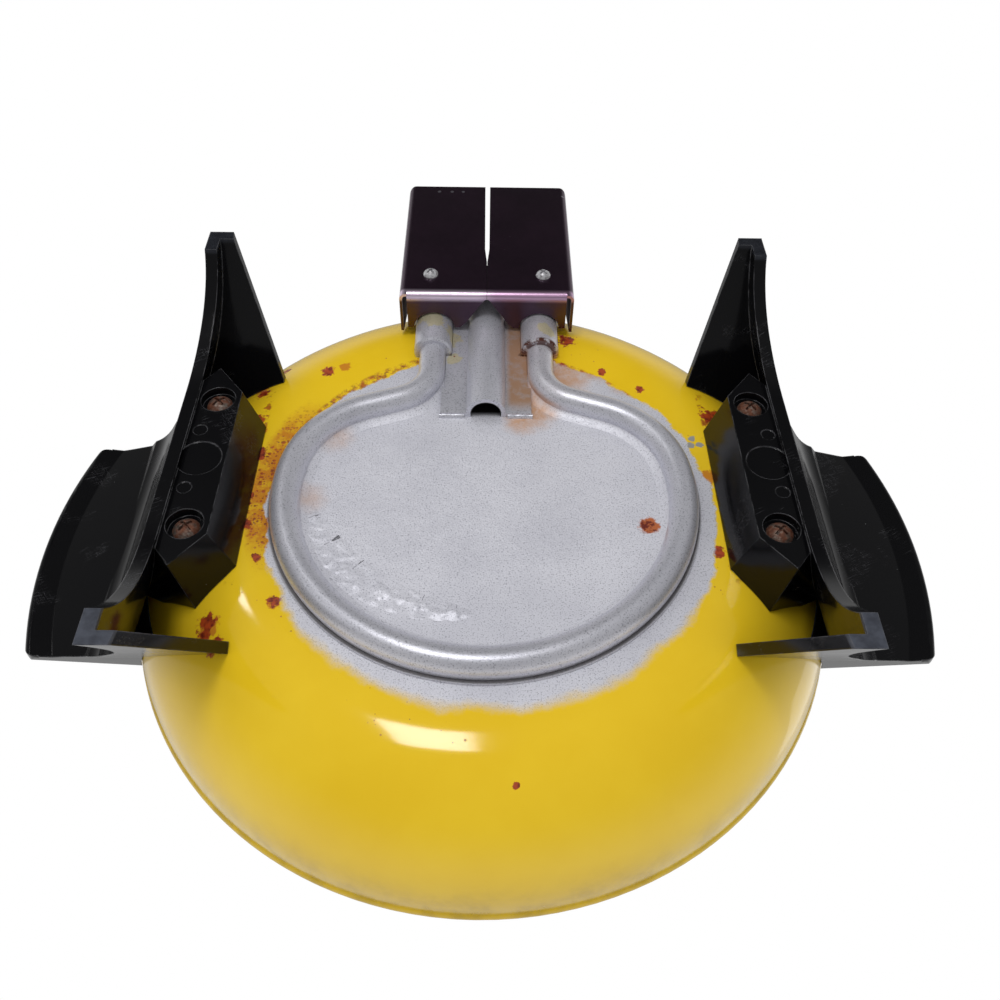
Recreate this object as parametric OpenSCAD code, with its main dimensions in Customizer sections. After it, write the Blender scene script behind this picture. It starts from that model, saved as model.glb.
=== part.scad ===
// Electric skillet base: round cast pan, brazed heating element, probe channel,
// terminal guard and two moulded handles whose legs carry the pan.
// Millimetres. +Z up, the four feet stand on z = 0, the terminals face -Y.

/* [Pan] */
// outside radius at the rim
rim_r = 114.3; // [100:0.1:130]
// depth from the rim to the underside of the flat bottom
pan_depth = 42.1; // [34:0.1:52]
// radius of the rounded shoulder between the flat bottom and the side
round_r = 38.5; // [30:0.5:40]
// thickness of the cast bottom
bottom_t = 4.5; // [3:0.1:6]
// thickness of the side at the rim
side_t = 3.2; // [2.4:0.1:4.5]
// height of the underside of the pan above the table
pan_z = 41; // [36:0.5:50]

/* [Heating element] */
// outside radius of the element tube
tube_r = 4.6; // [4:0.1:5]
// wall of the element tube
tube_wall = 0.8; // [0.5:0.1:1]
// distance of the ring from the edge of the flat bottom, to the middle of the tube
ring_in = 13; // [11:0.5:17]
// angle where the ring starts to close in towards the leads
ring_turn = 10; // [6:1:14]
// distance from the pan axis to the middles of the shoulder bends
shoulder_off = 29; // [27:0.5:33]
// turn of each lead bend
lead_turn = 70; // [64:1:74]
// radius of the two lead bends, to the middle of the tube
lead_bend_r = 15; // [12:0.5:16]
// half the spacing of the two terminals
terminal_x = 19.05; // [18:0.05:20]
// height of the middle of the tube over the bottom of the pan
tube_rise = 2.4; // [2:0.1:2.8]
// height of the cast lip on both sides of the tube
land_h = 0.6; // [0.4:0.1:0.8]
// half the width of the casting, lip to lip
land_w = 5.6; // [5.3:0.1:6]

/* [Terminals] */
// outside radius of the sleeves round the leads
sleeve_r = 6.7; // [6.4:0.1:7.2]
// distance of the sleeve mouths from the edge of the flat bottom
sleeve_in = 11; // [10:0.5:14]
// length of the sleeves
sleeve_l = 35; // [32:0.5:37]
// radius of the terminal pins
pin_r = 2.4; // [2:0.1:2.8]
// length of the pins beyond the sleeves
pin_l = 29; // [23:0.5:35]

/* [Probe channel] */
// half the outside width of the arch
channel_w = 6.7; // [6.2:0.1:7.2]
// height of the arch over the bottom of the pan
channel_h = 8.2; // [7.8:0.1:9]
// wall of the arch
channel_t = 1.8; // [1.4:0.1:2]
// half the width of its base plate
plate_w = 15.4; // [14.6:0.1:16]
// thickness of its base plate
plate_t = 1.6; // [1.3:0.1:1.8]
// length of the channel
channel_l = 65.5; // [60:0.5:68]

/* [Terminal guard] */
// half the outside width of the guard
guard_w = 31.2; // [29.6:0.1:33]
// depth of its face below the bottom of the pan
guard_drop = 18; // [17:0.5:20]
// thickness of its sheet
guard_t = 1; // [0.8:0.1:1.4]
// distance of its folded end from the edge of the flat bottom
guard_out = 2.5; // [1:0.5:4]
// length of the guard
guard_l = 69.5; // [63:0.5:75]
// outside radius of its folds
fold_r = 2.2; // [1.8:0.1:2.6]
// radius of its corners at the open end
guard_corner_r = 3; // [2:0.5:7]
// half the gap between its two halves at the open end
seam_gap = 0.95; // [0.6:0.05:1.3]
// spacing of its screws from the middle
guard_screw_x = 20.4; // [19:0.1:21.4]
// distance of its screws from the folded end
guard_screw_in = 11.7; // [9.5:0.1:13.5]
// radius of its screw heads
guard_head_r = 2.8; // [2.6:0.1:3.1]

/* [Handles] */
// reach of the grips beyond the rim
grip_reach = 31.3; // [26:0.1:37]
// underside of the grips below the rim, where they leave the legs
grip_drop = 17.6; // [15:0.1:20]
// thickness of the grips where they meet the pan
grip_t = 12; // [10:0.5:14]
// thickness of the grips at their edge
grip_edge = 3.2; // [2.6:0.1:4]
// rise of the underside of the grips towards the lip, in degrees
grip_rise = 10.5; // [6:0.5:13]
// distance from the grip edge to the bend line of its lip
lip_w = 8; // [6:0.5:10]
// turn of the lip back towards the table, in degrees
lip_turn = 7; // [3:0.5:10]
// radius of the outer corners of the grips, seen from above
corner_r = 4; // [2:0.5:6]
// outer face of the legs at the table, inside the rim
leg_in = 20.6; // [18.5:0.1:22.5]
// wall of the moulding
wall_t = 4; // [3.4:0.1:4.6]
// outer face of the feet, from the middle
foot_y = 81; // [78:0.5:84]
// half the opening of the arch at the table
arch_y = 71; // [69:0.5:74]
// height of the arch above the table
arch_h = 23; // [20:0.5:25]
// lean of the legs, in sideways travel for each unit of height
leg_lean = 0.56; // [0.5:0.01:0.6]
// lean of the ends of the grips, reckoned the same way
end_lean = 0.25; // [0.1:0.01:0.4]
// length of the feet along the fins
foot_l = 7.8; // [6.7:0.1:9]
// distance from the legs to the place where the fins reach the pan
fin_l = 22.7; // [19.7:0.5:25.7]
// underside of the mounting blocks below the bottom of the pan
block_drop = 16; // [14:0.5:17.5]
// distance from the legs to the handle screws
screw_in = 8.3; // [6.7:0.1:9.7]
// handle screws from the middle of each block
screw_y = 25.4; // [23:0.1:27]
// radius of the handle screw heads
head_r = 4.1; // [3.8:0.1:4.5]
// radius of the counterbores round those heads
recess_r = 5.4; // [5:0.1:6]

/* [Hidden] */
rim_z = pan_z + pan_depth;
floor_z = pan_z + bottom_t;
side_r = rim_r - 0.8;
shoulder_r = min(round_r, pan_depth - 1);
flat_r = side_r - shoulder_r;
shoulder_z = pan_z + shoulder_r;
inner_r = shoulder_r - bottom_t + 0.5;
inner_x = side_r - side_t - inner_r;
inner_z = floor_z + inner_r;
rim_round = side_t / 2 + 0.3;
tube_z = pan_z - tube_rise;
core_r = tube_r - tube_wall;
ring_r = flat_r - ring_in;
shoulder_bend_r = ring_r - shoulder_off;
coil_r = 1.6;
rod_r = 1.8;
sleeve_y0 = flat_r - sleeve_in;
sleeve_y1 = sleeve_y0 + sleeve_l;
pin_y1 = sleeve_y1 + pin_l;
channel_y1 = sleeve_y1 + 1;
channel_y0 = channel_y1 - channel_l;
mouth_bevel = 0.7;
arc_x = shoulder_off * cos(ring_turn);
arc_y = shoulder_off * sin(ring_turn);
run_x = arc_x + shoulder_bend_r * cos(lead_turn);
run_y = arc_y + shoulder_bend_r * sin(lead_turn);
run_l = (run_x - terminal_x - lead_bend_r * (1 - cos(lead_turn))) / sin(lead_turn);
bend_x = terminal_x + lead_bend_r;
bend_y = run_y + run_l * cos(lead_turn) + lead_bend_r * sin(lead_turn);
lead_y1 = sleeve_y1 - 3;
insulator_y1 = sleeve_y1 + 7;
arch_z = pan_z - channel_h + channel_w;
plate_y1 = channel_y1 - 16;
guard_z = pan_z - guard_drop;
guard_y0 = flat_r + guard_out;
guard_y1 = guard_y0 + guard_l;
guard_screw_y = guard_y0 + guard_screw_in;
bar_z0 = guard_z + guard_t;
bar_z1 = tube_z - sleeve_r + 1.6;
bar_y = 7;
bar_t = 4.5;
flange_z1 = pan_z - 3;
tongue_bevel = 2;
fold_x = guard_w - 2.6;
seam_w = 0.08;
side_z = pan_z - 1.4;
side_top = pan_z + 5;
leg_x = rim_r - leg_in;
grip_z = rim_z - grip_drop;
grip_top = grip_z + grip_t;
grip_r = rim_r + grip_reach;
skirt_r = 92;
skirt_z = 5;
skirt_x = leg_x + skirt_r;
blend_r = 12;
blend_k = (skirt_r - blend_r) / skirt_r;
toe_z = (grip_z - blend_r - skirt_z) / blend_k;
toe_x = sqrt(skirt_r * skirt_r - toe_z * toe_z);
blend_x = skirt_x - toe_x * blend_k;
blend_turn = 22;
under_x = blend_x - blend_r * sin(blend_turn);
under_z = grip_z - blend_r * (1 - cos(blend_turn));
lip_x = grip_r - lip_w;
lip_z = under_z + (lip_x - under_x) * tan(grip_rise);
edge_r = grip_edge / 2;
edge_x = grip_r - edge_r;
edge_z = lip_z - (lip_w - edge_r) * tan(lip_turn) + edge_r / cos(lip_turn);
grip_x = side_r - 8;
grip_fall = atan2(edge_z - grip_top, edge_x - grip_x)
    + asin(edge_r / norm([edge_x - grip_x, edge_z - grip_top]));
end_z = grip_z + 2.5;
end_y = foot_y - leg_lean * end_z;
corner_y = end_y - corner_r - 0.15;
corner_x = sqrt(pow(grip_r - corner_r - 0.15, 2) - corner_y * corner_y);
web_z = grip_z - 8.5;
arch_flat = 27;
arch_run = arch_y - arch_flat;
arch_r = (arch_run * arch_run + arch_h * arch_h) / (2 * arch_h);
lean_a = atan(leg_lean);
fin_x = leg_x - foot_l;
fin_root_x = leg_x - fin_l;
fin_slope = (fin_x - fin_root_x) / (pan_z + 3);
block_z = pan_z - block_drop;
block_z1 = pan_z + 9;
screw_x = leg_x - screw_in;
block_x = screw_x - 7;
mark_r = 2.2;
seat_z = pan_z - 5;
boss_r = 4.5;
head_z = block_z + 2.9;
screw_r = 2;
screw_tip = pan_z + 2.4;
slim = 0.02;
shoulder_reach = 0.3 / shoulder_bend_r * 180 / PI;
bend_reach = 0.3 / lead_bend_r * 180 / PI;
$slim = 0;
clear = 0.25;
axis_y = (guard_y1 - rim_r) / 2;
eps = 0.02;

enamel = [0.84, 0.62, 0.07];
silver = [0.62, 0.62, 0.66];
phenolic = [0.02, 0.02, 0.022];

// the pan axis stands a little behind the middle of the whole part
module on_axis() translate([0, axis_y, 0]) children();
module left_one() mirror([1, 0, 0]) children();
module both_sides() {
    children();
    mirror([1, 0, 0]) children();
}
// a bar or bore that runs forward, from y = -a to y = -b
module forward(a, b) translate([0, -a, 0]) rotate([90, 0, 0]) linear_extrude(height = b - a) children();

// carries a section, drawn across the tube, along the ring and its shoulders: the bends
// are a hair slimmer than the lengths between them and reach a little way into them
module along_ring() {
    rotate([0, 0, -ring_turn])
        rotate_extrude(angle = 180 + 2 * ring_turn, $fn = 96) translate([ring_r, 0]) children();
    both_sides() {
        translate([arc_x, -arc_y, 0]) rotate([0, 0, -lead_turn - shoulder_reach])
            rotate_extrude(angle = lead_turn - ring_turn + 2 * shoulder_reach, $fn = 72)
                translate([shoulder_bend_r, 0]) let($slim = slim) children();
        translate([run_x, -run_y, 0]) rotate([90, 0, -lead_turn])
            linear_extrude(height = run_l) children();
        translate([bend_x, -bend_y, 0]) rotate([0, 0, 180 - lead_turn - bend_reach])
            rotate_extrude(angle = lead_turn + 2 * bend_reach, $fn = 72)
                translate([lead_bend_r, 0]) let($slim = slim) children();
    }
}
module along_leads(end) both_sides()
    translate([terminal_x, 0, 0]) forward(bend_y, end) children();

module tube_section(r) circle(r = r - $slim, $fn = 32);
module tube_path(r, end) translate([0, 0, tube_z]) {
    along_ring() tube_section(r);
    along_leads(end) tube_section(r);
}

// the pan: half section of everything inside its outer face, grown by c
module pan_outer(c = 0) {
    translate([0, pan_z - c]) square([flat_r, pan_depth + c]);
    intersection() {
        translate([flat_r, shoulder_z]) circle(r = shoulder_r + c, $fn = 128);
        translate([flat_r - 1, pan_z - c]) square([shoulder_r + c + 1, shoulder_r + c]);
    }
    polygon([[0, shoulder_z], [side_r + c, shoulder_z], [rim_r + c, rim_z], [0, rim_z]]);
}
module pan_inner() {
    translate([0, floor_z]) square([inner_x, pan_depth]);
    intersection() {
        translate([inner_x, inner_z]) circle(r = inner_r, $fn = 128);
        translate([inner_x - 1, floor_z]) square([inner_r + 1, inner_r]);
    }
    polygon([[0, inner_z], [inner_x + inner_r, inner_z], [rim_r - side_t - 0.6, rim_z + 1],
        [0, rim_z + 1]]);
}
module pan_body() rotate_extrude($fn = 128) {
    difference() {
        pan_outer();
        pan_inner();
        translate([rim_r - side_t - 2, rim_z - rim_round]) square([side_t + 4, rim_round + 1]);
    }
    translate([rim_r - rim_round, rim_z - rim_round]) circle(r = rim_round, $fn = 32);
}
// low lips of the casting on both sides of the element
module element_land() translate([0, 0, pan_z - land_h / 2]) {
    along_ring() square([2 * (land_w - $slim), land_h + eps - $slim], center = true);
    along_leads(sleeve_y0 - 0.5) square([2 * land_w, land_h + eps], center = true);
}
module screw_spots() for (x = [-screw_x, screw_x], y = [-screw_y, screw_y])
    translate([x, y, 0]) children();
module pan_shell() color(enamel) on_axis() difference() {
    union() {
        pan_body();
        screw_spots() translate([0, 0, seat_z])
            cylinder(r = boss_r, h = floor_z - seat_z, $fn = 32);
        element_land();
    }
    screw_spots() translate([0, 0, seat_z - 1])
        cylinder(r = screw_r, h = screw_tip - seat_z + 2, $fn = 24);
    tube_path(tube_r, sleeve_y1);
    translate([-plate_w, -sleeve_y0 - 1, pan_z - land_h - 1])
        cube([2 * plate_w, sleeve_y0 + 1 - channel_y0, land_h + 1]);
}

module tube_cut(outer, inner) difference() {
    tube_section(outer);
    circle(r = inner + $slim, $fn = 24);
}
module element_sheath() color(silver) on_axis() translate([0, 0, tube_z]) {
    along_ring() tube_cut(tube_r, core_r);
    along_leads(lead_y1) tube_cut(tube_r, core_r);
}
module element_insulation() color([0.9, 0.89, 0.85]) on_axis() translate([0, 0, tube_z]) {
    along_ring() tube_cut(core_r, coil_r);
    along_leads(lead_y1) tube_cut(core_r, rod_r);
}
// the resistance coil, drawn as the rod that its turns fill
module element_coil() color([0.55, 0.5, 0.45]) on_axis()
    translate([0, 0, tube_z]) along_ring() tube_section(coil_r);

module terminal_pin_right() color([0.72, 0.7, 0.66]) on_axis()
    translate([terminal_x, 0, tube_z]) {
        forward(bend_y, insulator_y1 + eps) circle(r = rod_r, $fn = 24);
        forward(insulator_y1, pin_y1 - 2) circle(r = pin_r, $fn = 32);
        translate([0, -pin_y1 + 2, 0]) rotate([90, 0, 0])
            cylinder(r1 = pin_r, r2 = pin_r - 1.1, h = 2, $fn = 32);
    }
module terminal_pin_left() left_one() terminal_pin_right();

module terminal_insulator_right() color([0.9, 0.87, 0.8]) on_axis()
    translate([terminal_x, 0, tube_z]) difference() {
        union() {
            forward(lead_y1, sleeve_y1) circle(r = tube_r, $fn = 40);
            forward(sleeve_y1, insulator_y1) circle(r = sleeve_r - 0.6, $fn = 40);
        }
        forward(lead_y1 - 1, insulator_y1 + 1) circle(r = rod_r, $fn = 24);
    }
module terminal_insulator_left() left_one() terminal_insulator_right();

// concentric with the lead, and saddled on the pan
module terminal_sleeve_right() color(silver) on_axis() difference() {
    translate([terminal_x, 0, tube_z]) {
        translate([0, -sleeve_y0, 0]) rotate([90, 0, 0])
            cylinder(r1 = sleeve_r - mouth_bevel, r2 = sleeve_r, h = mouth_bevel, $fn = 48);
        forward(sleeve_y0 + mouth_bevel, sleeve_y1) circle(r = sleeve_r, $fn = 48);
    }
    translate([terminal_x, 0, tube_z]) forward(sleeve_y0 - 1, sleeve_y1 + 1)
        circle(r = tube_r, $fn = 32);
    rotate_extrude($fn = 128) pan_outer();
}
module terminal_sleeve_left() left_one() terminal_sleeve_right();

// half-round tunnel for the probe, on a flat plate brazed to the pan
module probe_channel() color(silver) on_axis() difference() {
    union() {
        forward(channel_y0, channel_y1) {
            translate([0, arch_z]) circle(r = channel_w, $fn = 64);
            translate([-channel_w, arch_z]) square([2 * channel_w, pan_z - arch_z]);
        }
        forward(channel_y0, plate_y1) translate([-plate_w, pan_z - plate_t])
            square([2 * plate_w, plate_t]);
    }
    forward(channel_y0 - 1, channel_y1 + 1) {
        translate([0, arch_z]) circle(r = channel_w - channel_t, $fn = 48);
        translate([channel_t - channel_w, arch_z])
            square([2 * (channel_w - channel_t), pan_z - arch_z + 1]);
    }
    translate([-channel_w - 1, -channel_y1 - 1, pan_z])
        cube([2 * channel_w + 2, channel_y1 + 1, channel_w]);
    both_sides() translate([terminal_x, 0, tube_z]) {
        forward(sleeve_y0 - 0.5, channel_y1) circle(r = sleeve_r + 0.15, $fn = 48);
        forward(bend_y - 7, sleeve_y0) circle(r = tube_r + 0.15, $fn = 32);
    }
}

// bar with a saddled foot on each sleeve, tapped for the two guard screws
module guard_bracket() color([0.5, 0.5, 0.53]) on_axis() difference() {
    translate([-guard_w + 4, -guard_screw_y - bar_y, bar_z0])
        cube([2 * guard_w - 8, 2 * bar_y, bar_z1 - bar_z0]);
    translate([-terminal_x + 7, -guard_screw_y - bar_y - 1, bar_z0 + bar_t])
        cube([2 * terminal_x - 14, 2 * bar_y + 2, bar_z1]);
    both_sides() {
        translate([terminal_x, 0, tube_z]) forward(sleeve_y0, sleeve_y1) circle(r = sleeve_r, $fn = 48);
        translate([guard_screw_x, -guard_screw_y, bar_z0 - 1]) cylinder(r = 1.5, h = 8, $fn = 24);
    }
}

// one half of the guard: face, side wall and folded end, from a single sheet
module guard_section() difference() {
    union() {
        translate([0, guard_z + fold_r]) square([guard_w, side_top - guard_z - fold_r]);
        translate([0, guard_z]) square([guard_w - fold_r, fold_r + 1]);
        translate([guard_w - fold_r, guard_z + fold_r]) circle(r = fold_r, $fn = 32);
    }
    translate([-1, guard_z + fold_r]) square([guard_w - guard_t + 1, side_top]);
    translate([-1, guard_z + guard_t]) square([guard_w - fold_r + 1, side_top]);
    translate([guard_w - fold_r, guard_z + fold_r]) circle(r = fold_r - guard_t, $fn = 32);
}
module guard_fold() {
    difference() {
        translate([seam_w, -guard_y0 - fold_r, guard_z + fold_r]) rotate([0, 90, 0])
            cylinder(r = fold_r, h = fold_x - seam_w, $fn = 48);
        translate([0, -guard_y0 - fold_r, guard_z + fold_r]) rotate([0, 90, 0])
            cylinder(r = fold_r - guard_t, h = guard_w, $fn = 40);
        translate([0, -guard_y0 - 2 * fold_r - 1, guard_z - 1]) cube([guard_w, fold_r + 1, 3 * fold_r]);
        translate([0, -guard_y0 - fold_r - 1, guard_z + fold_r]) cube([guard_w, fold_r + 2, fold_r + 1]);
    }
    difference() {
        translate([seam_w, -guard_y0 - guard_t, guard_z + fold_r])
            cube([fold_x - seam_w, guard_t, flange_z1 - guard_z - fold_r]);
        translate([terminal_x, 0, tube_z]) forward(guard_y0 - 1, guard_y0 + guard_t + 1)
            circle(r = sleeve_r + 0.7, $fn = 48);
        forward(guard_y0 - 1, guard_y0 + guard_t + 1) polygon([[-1, guard_z + fold_r - 1],
            [seam_w, guard_z + fold_r - 1], [channel_w + 1.1, flange_z1 - tongue_bevel],
            [channel_w + 1.5 + tongue_bevel, flange_z1 + 0.5], [-1, flange_z1 + 0.5]]);
    }
}
module terminal_guard_right() color([0.1, 0.05, 0.11]) on_axis() {
    difference() {
        forward(guard_y0, guard_y1) guard_section();
        translate([-1, -guard_y0 - fold_r, guard_z - 1]) cube([fold_x + 1, fold_r + 1, side_top]);
        translate([0, 0, guard_z - 1]) linear_extrude(height = guard_t + 2)
            polygon([[-1, -guard_y0], [seam_w, -guard_y0], [seam_w, -guard_y0 - 19.5],
                [seam_gap - 0.15, -guard_y0 - 27.5], [seam_gap, -guard_y1 - 1], [-1, -guard_y1 - 1]]);
        translate([guard_screw_x, -guard_screw_y, guard_z - 1])
            cylinder(r = 1.7, h = guard_t + 2, $fn = 24);
        translate([guard_w - 2, 0, 0]) rotate([90, 0, 90]) linear_extrude(height = 4)
            polygon([[-guard_y0 + 1, side_z], [-guard_y0, side_z], [-guard_y0 - 20, side_top],
                [-guard_y0 - 20, side_top + 1], [-guard_y0 + 1, side_top + 1]]);
        translate([guard_w - guard_corner_r, -guard_y1 + guard_corner_r, guard_z - 1]) difference() {
            translate([0, -guard_corner_r - 1, 0]) cube([guard_corner_r + 1, guard_corner_r + 1, side_top]);
            translate([0, 0, -1]) cylinder(r = guard_corner_r, h = side_top + 2, $fn = 48);
        }
    }
    guard_fold();
}
module terminal_guard_left() left_one() terminal_guard_right();

// cross-recessed pan head screw, head down, seat at z = 0
module cross_screw(head, tall, shank, length) {
    difference() {
        rotate_extrude($fn = 48) intersection() {
            translate([0, (head * head - tall * tall) / (2 * tall)])
                circle(r = (head * head + tall * tall) / (2 * tall), $fn = 96);
            translate([0, -tall]) square([head - 0.12, tall]);
        }
        for (a = [0, 90]) rotate([0, 0, a + 45]) translate([-0.55 * head, -0.11 * head, -tall - 1])
            cube([1.1 * head, 0.22 * head, 1 + 0.62 * tall]);
    }
    cylinder(r = shank, h = length, $fn = 24);
}
module guard_screw_right() color([0.75, 0.75, 0.77]) on_axis()
    translate([guard_screw_x, -guard_screw_y, guard_z]) cross_screw(guard_head_r, 2.1, 1.5, 4.4);
module guard_screw_left() left_one() guard_screw_right();

// the curved wall of a moulding, blended into the grip: side view, x against z
function skirt_at(z) = skirt_x - sqrt(skirt_r * skirt_r - (z - skirt_z) * (z - skirt_z));
module skirt_air() {
    intersection() {
        translate([skirt_x, skirt_z]) circle(r = skirt_r, $fn = 160);
        polygon([[skirt_x, skirt_z], [skirt_x - 1.3 * toe_x, skirt_z + 1.3 * toe_z],
            [leg_x - wall_t - 9, skirt_z + 1.3 * toe_z], [leg_x - wall_t - 9, -10], [skirt_x, -10]]);
    }
    translate([blend_x, grip_z - blend_r]) circle(r = blend_r, $fn = 64);
    translate([blend_x, -10]) square([grip_r, web_z + 11]);
}
module skirt_section() difference() {
    union() {
        intersection() {
            translate([skirt_x, skirt_z]) circle(r = skirt_r + wall_t, $fn = 160);
            translate([leg_x - wall_t - 3, -5]) square([grip_r - leg_x, web_z + 5 + eps]);
        }
        polygon([[leg_x - 2, web_z], [under_x + 0.5, web_z], [under_x + 0.5, under_z - 0.3],
            [under_x + 3, under_z + 2.2], [leg_x - 2, under_z + 2.2]]);
    }
    skirt_air();
}

// rising underneath to a lip that turns back down, sloped on top, and round at the edge
module grip_section() {
    polygon([[grip_x - 6, under_z - (under_x - grip_x + 6) * tan(grip_rise)], [lip_x, lip_z],
        [edge_x - edge_r * sin(lip_turn), edge_z - edge_r * cos(lip_turn)],
        [edge_x - edge_r * sin(grip_fall), edge_z + edge_r * cos(grip_fall)],
        [grip_x, grip_top], [grip_x - 6, grip_top]]);
    translate([edge_x, edge_z]) circle(r = edge_r + eps, $fn = 32);
}
module grip_corner() translate([corner_x, corner_y, under_z])
    rotate([0, 0, atan2(corner_y, corner_x)]) difference() {
        cube([20, 20, grip_t + 5]);
        translate([0, 0, -1]) cylinder(r = corner_r, h = grip_t + 7, $fn = 48);
    }
module end_limit() rotate([90, 0, 90]) linear_extrude(height = grip_r + 5)
    polygon([[-foot_y, 0], [foot_y, 0], [end_y, end_z], [end_y - end_lean * (rim_z - end_z), rim_z],
        [end_lean * (rim_z - end_z) - end_y, rim_z], [-end_y, end_z]]);
module arch_cut() rotate([90, 0, 90]) linear_extrude(height = grip_r) {
    for (s = [-1, 1]) translate([s * arch_flat, arch_h - arch_r]) circle(r = arch_r, $fn = 128);
    translate([-arch_flat, -10]) square([2 * arch_flat, arch_h + 10]);
}
// fin that closes the end of a leg and runs in to the pan
module leg_fin() translate([0, -foot_y, 0]) rotate([-lean_a, 0, 0]) translate([0, wall_t * cos(lean_a), 0])
    rotate([90, 0, 0]) linear_extrude(height = wall_t * cos(lean_a))
        polygon([for (p = concat([[fin_x + 4 * fin_slope, -4]],
            [for (z = [-4, 8, 26, 42, 50, web_z + 3]) [skirt_at(z) - 0.4 * wall_t, z]],
            [[fin_root_x, web_z + 3], [fin_root_x, pan_z + 3]])) [p[0], p[1] / cos(lean_a)]]);
// block that the two screws pull against the pan, with sloped inner face and pointed ends
module mounting_block() hull() {
    translate([0, 0, block_z]) linear_extrude(height = 1) polygon([[block_x, screw_y + 3.5],
        [block_x + 8.9, screw_y + 14.6], [leg_x + 0.5, screw_y + 5.6], [leg_x + 0.5, -screw_y - 5.6],
        [block_x + 8.9, -screw_y - 14.6], [block_x, -screw_y - 3.5]]);
    translate([0, 0, block_z1]) linear_extrude(height = 1) polygon([[block_x - 8.5, screw_y + 2.9],
        [block_x + 3.8, screw_y + 15.4], [leg_x + 9, screw_y + 5.6], [leg_x + 9, -screw_y - 5.6],
        [block_x + 3.8, -screw_y - 15.4], [block_x - 8.5, -screw_y - 2.9]]);
}
module handle_right() color(phenolic) on_axis() intersection() {
    difference() {
        union() {
            difference() {
                rotate([90, 0, 0]) linear_extrude(height = 2 * foot_y, center = true)
                    skirt_section();
                arch_cut();
            }
            rotate([0, 0, -35]) rotate_extrude(angle = 70, $fn = 180) grip_section();
            leg_fin();
            mirror([0, 1, 0]) leg_fin();
            mounting_block();
        }
        rotate_extrude($fn = 128) pan_outer(clear);
        for (y = [-screw_y, screw_y]) translate([screw_x, y, 0]) {
            translate([0, 0, block_z - 1]) cylinder(r = recess_r, h = head_z - block_z + 1, $fn = 48);
            translate([0, 0, block_z]) cylinder(r = screw_r + 0.25, h = pan_z, $fn = 24);
            translate([0, 0, seat_z]) cylinder(r = boss_r + 0.25, h = 20, $fn = 32);
        }
        translate([screw_x + 1, 0, block_z - 1]) cylinder(r = 6.8, h = 1.25, $fn = 48);
        for (y = [-11.8, 11.8]) translate([screw_x + 3, y, block_z - 1])
            cylinder(r = mark_r, h = 1.2, $fn = 24);
        grip_corner();
        mirror([0, 1, 0]) grip_corner();
    }
    end_limit();
}
module handle_left() left_one() handle_right();

module handle_screw(x, y) color([0.5, 0.42, 0.36]) on_axis() translate([x, y, head_z])
    cross_screw(head_r, 2.5, screw_r, screw_tip - head_z);
module handle_screw_left_front() handle_screw(-screw_x, -screw_y);
module handle_screw_left_back() handle_screw(-screw_x, screw_y);
module handle_screw_right_front() handle_screw(screw_x, -screw_y);
module handle_screw_right_back() handle_screw(screw_x, screw_y);

pan_shell();
element_sheath();
element_insulation();
element_coil();
terminal_pin_left();
terminal_pin_right();
terminal_insulator_left();
terminal_insulator_right();
terminal_sleeve_left();
terminal_sleeve_right();
probe_channel();
guard_bracket();
terminal_guard_left();
terminal_guard_right();
guard_screw_left();
guard_screw_right();
handle_left();
handle_right();
handle_screw_left_front();
handle_screw_left_back();
handle_screw_right_front();
handle_screw_right_back();
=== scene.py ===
"""Electric skillet base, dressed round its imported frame.

Metres, +Z up, feet on z = 0, the terminals face -Y. Lengths that come from the drawing
are written in millimetres and turned into metres by mm().
"""
import math

import bpy
from mathutils import Matrix, Vector, noise


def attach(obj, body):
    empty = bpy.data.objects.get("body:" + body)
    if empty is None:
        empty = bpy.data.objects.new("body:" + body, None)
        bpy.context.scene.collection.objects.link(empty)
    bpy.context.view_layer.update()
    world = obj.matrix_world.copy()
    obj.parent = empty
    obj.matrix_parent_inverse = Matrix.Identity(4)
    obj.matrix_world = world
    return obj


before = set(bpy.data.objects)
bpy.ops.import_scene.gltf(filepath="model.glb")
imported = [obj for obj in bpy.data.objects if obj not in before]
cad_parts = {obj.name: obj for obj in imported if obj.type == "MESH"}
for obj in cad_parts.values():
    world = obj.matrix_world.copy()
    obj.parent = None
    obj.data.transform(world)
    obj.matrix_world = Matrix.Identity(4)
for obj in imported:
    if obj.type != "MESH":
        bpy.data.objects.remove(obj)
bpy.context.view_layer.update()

# the pan, in millimetres: heights from the table, the rest from the pan's axis
AXIS_Y = 16.35              # the axis itself, from the middle of the part's box
PAN_BOTTOM = 41.0           # underside of the flat bottom
FLAT_R = 75.0               # the flat bottom ends here and the round flank starts
SHOULDER_R = 38.5           # the flank's round, outside
MID_WALL_R = 36.7           # the same round inside the wall
MID_FLOOR = 43.2            # a height inside the bottom
PAINT_R = 69.6              # the disc that was sprayed silver
PAINT_MIDDLE = (2.3, 4.7)
FILM_AND_SHADE_FROM, FILM_AND_SHADE_FULL = 62.0, 81.0   # baked film and painted shade, from where they start up to the rim

# the element's middle line, the probe channel and the sleeves
RING_R = 62.0
RING_TURN, LEAD_TURN = 10.0, 70.0
SHOULDER_BEND_R, LEAD_BEND_R, TERMINAL_X = 33.0, 15.0, 19.05
BORE_Z, BORE_R = 39.5, 5.2
SLEEVE_MOUTH_Y = -64.55
PLATE_EDGE_Y = -34.6

# the guard, from the middle of the part's box
GUARD_INSIDE_X, GUARD_INSIDE_Y, GUARD_INSIDE_Z = 30.6, -61.7, 23.5


# ---------------------------------------------------------------- units and colours
def mm(*lengths):
    """Millimetres to metres: one number, or a tuple of them."""
    turned = tuple(length / 1000 for length in lengths)
    return turned if len(turned) > 1 else turned[0]


def tint(red, green, blue):
    """A colour in 0-255 steps as the linear values that a shader takes."""
    return tuple(((step / 255 + 0.055) / 1.055) ** 2.4 for step in (red, green, blue))


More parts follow.
